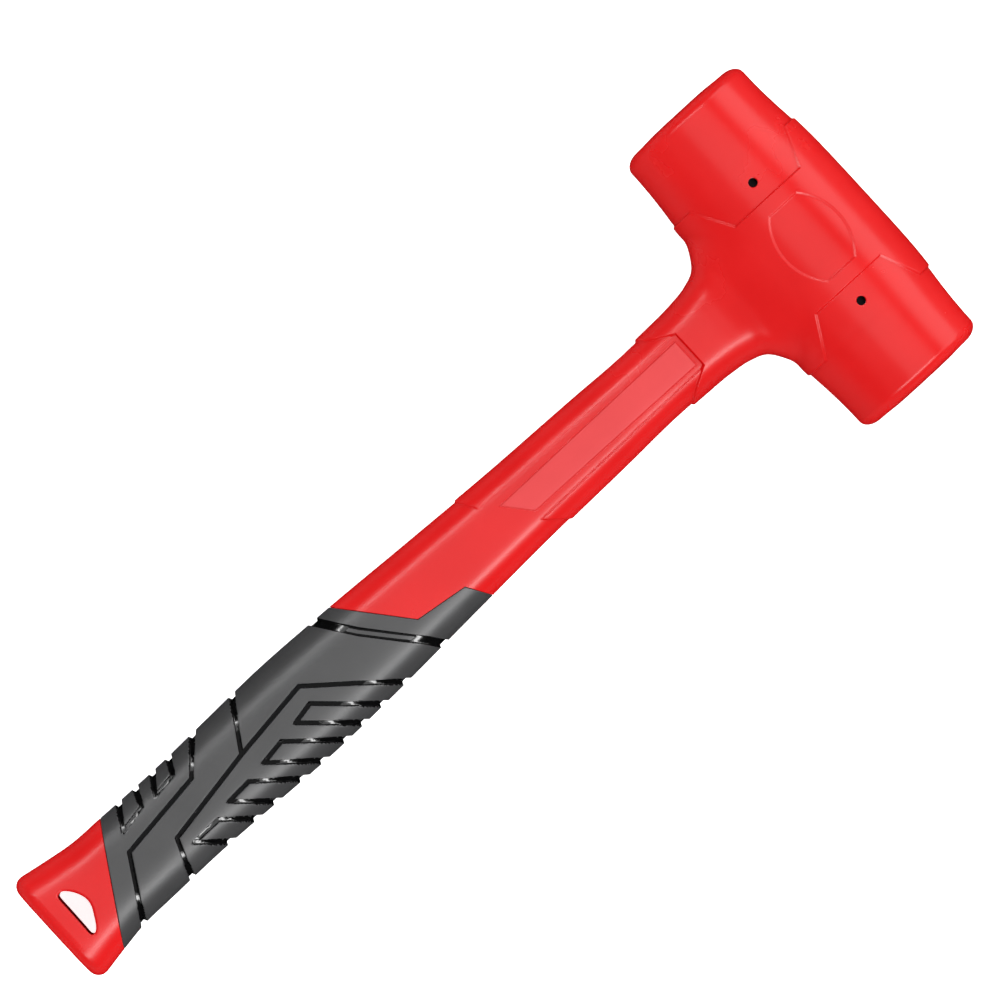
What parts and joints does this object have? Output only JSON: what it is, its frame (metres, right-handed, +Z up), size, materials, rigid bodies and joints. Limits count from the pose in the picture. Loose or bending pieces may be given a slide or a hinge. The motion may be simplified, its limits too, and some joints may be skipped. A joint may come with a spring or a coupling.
{
  "type": "dead blow mallet",
  "caption": "Dead blow mallet: cast polyurethane head and handle over a steel canister of loose shot and a steel rod, with a ribbed soft sleeve on the handle and a hang hole.",
  "frame": {"origin": "the middle of the footprint, on the surface that the mallet lies on", "axes": "+X along the handle towards the top of the head; +Y along the head, out of one strike face; +Z up, out of the upper side of the mallet as it lies on its side"},
  "size_m": [0.32, 0.106, 0.0493],
  "materials": {
    "casting": "satin red cast polyurethane",
    "grip_rubber": "matt charcoal moulded rubber",
    "canister_steel": "black-oxide rolled and turned steel",
    "rod_steel": "dull mill-finish steel",
    "shot_steel": "smooth steel shot"
  },
  "bodies": {
    "mallet": {"casing": "casting", "grip": "grip_rubber", "canister_tube": "canister_steel", "canister_cap_front": "canister_steel", "canister_cap_rear": "canister_steel", "handle_socket": "canister_steel", "handle_rod": "rod_steel", "cross_pin": "rod_steel"},
    "shot_charge": {"shot_ball_01": "shot_steel", "shot_ball_02": "shot_steel", "shot_ball_03": "shot_steel", "shot_ball_04": "shot_steel", "shot_ball_05": "shot_steel", "shot_ball_06": "shot_steel", "shot_ball_07": "shot_steel", "shot_ball_08": "shot_steel", "shot_ball_09": "shot_steel", "shot_ball_10": "shot_steel", "shot_ball_11": "shot_steel", "shot_ball_12": "shot_steel", "shot_ball_13": "shot_steel", "shot_ball_14": "shot_steel", "shot_ball_15": "shot_steel", "shot_ball_16": "shot_steel", "shot_ball_17": "shot_steel", "shot_ball_18": "shot_steel", "shot_ball_19": "shot_steel", "shot_ball_20": "shot_steel", "shot_ball_21": "shot_steel", "shot_ball_22": "shot_steel", "shot_ball_23": "shot_steel", "shot_ball_24": "shot_steel", "shot_ball_25": "shot_steel", "shot_ball_26": "shot_steel", "shot_ball_27": "shot_steel", "shot_ball_28": "shot_steel", "shot_ball_29": "shot_steel", "shot_ball_30": "shot_steel", "shot_ball_31": "shot_steel", "shot_ball_32": "shot_steel", "shot_ball_33": "shot_steel", "shot_ball_34": "shot_steel", "shot_ball_35": "shot_steel"}
  },
  "joints": [
    {"name": "shot_slide", "type": "slide", "parent": "mallet", "child": "shot_charge", "axis": [0, 1, 0], "range_m": [-0.0094, 0.0094]}
  ]
}
